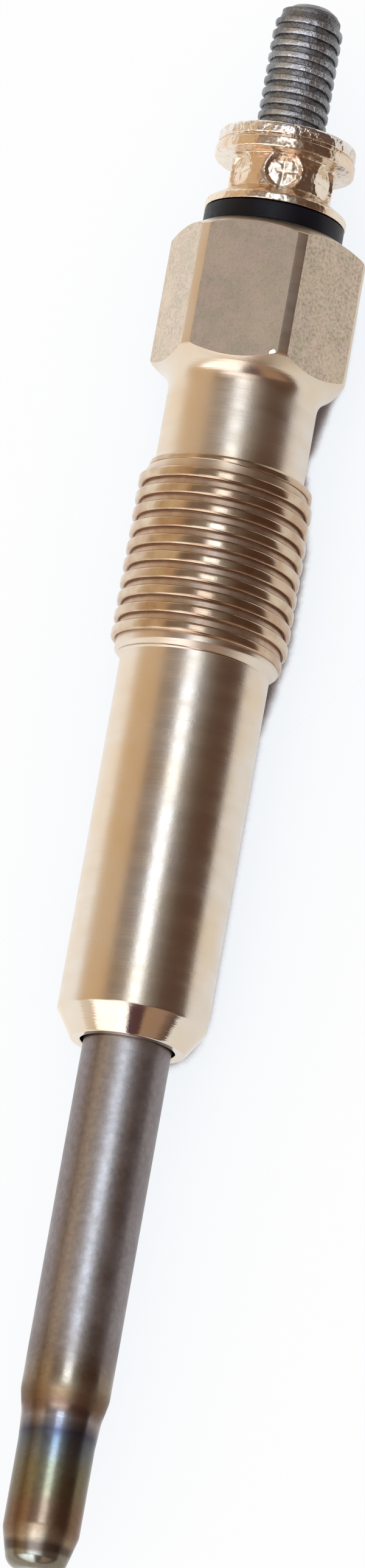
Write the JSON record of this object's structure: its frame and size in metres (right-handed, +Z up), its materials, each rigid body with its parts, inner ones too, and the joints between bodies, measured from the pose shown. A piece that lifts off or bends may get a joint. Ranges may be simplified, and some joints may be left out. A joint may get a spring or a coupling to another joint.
{
  "type": "diesel glow plug",
  "caption": "Sheathed-element diesel glow plug: threaded shell with hexagon head and conical seat, slim stepped heater tube, insulated terminal stud with a crimped flanged contact collar.",
  "frame": {"origin": "on the floor under the middle of the plug's length, with one flat of the hexagon down", "axes": "+Y along the plug's axis from the heater tip to the terminal stud, +Z up out of the floor, +X to the right when the stud points away"},
  "size_m": [0.0112, 0.0918, 0.01],
  "materials": {
    "shell": "pale yellow zinc plating on turned steel, satin",
    "glow_tube": "dark heat-resistant alloy, satin, with temper colours towards the tip",
    "heating_coil": "drawn resistance wire",
    "regulating_coil": "drawn nickel-iron wire",
    "filling_powder": "pressed white magnesium oxide powder",
    "tube_seal": "heat-resistant elastomer",
    "terminal_pin": "dark plain steel, satin",
    "body_seal": "black elastomer",
    "insulating_washer": "black moulded plastic",
    "contact_collar": "golden plated steel, satin, with crimp dents"
  },
  "bodies": {
    "root": {"shell": "shell", "glow_tube": "glow_tube", "heating_coil": "heating_coil", "regulating_coil": "regulating_coil", "filling_powder": "filling_powder", "tube_seal": "tube_seal", "terminal_pin": "terminal_pin", "body_seal": "body_seal", "insulating_washer": "insulating_washer", "contact_collar": "contact_collar"}
  },
  "joints": []
}
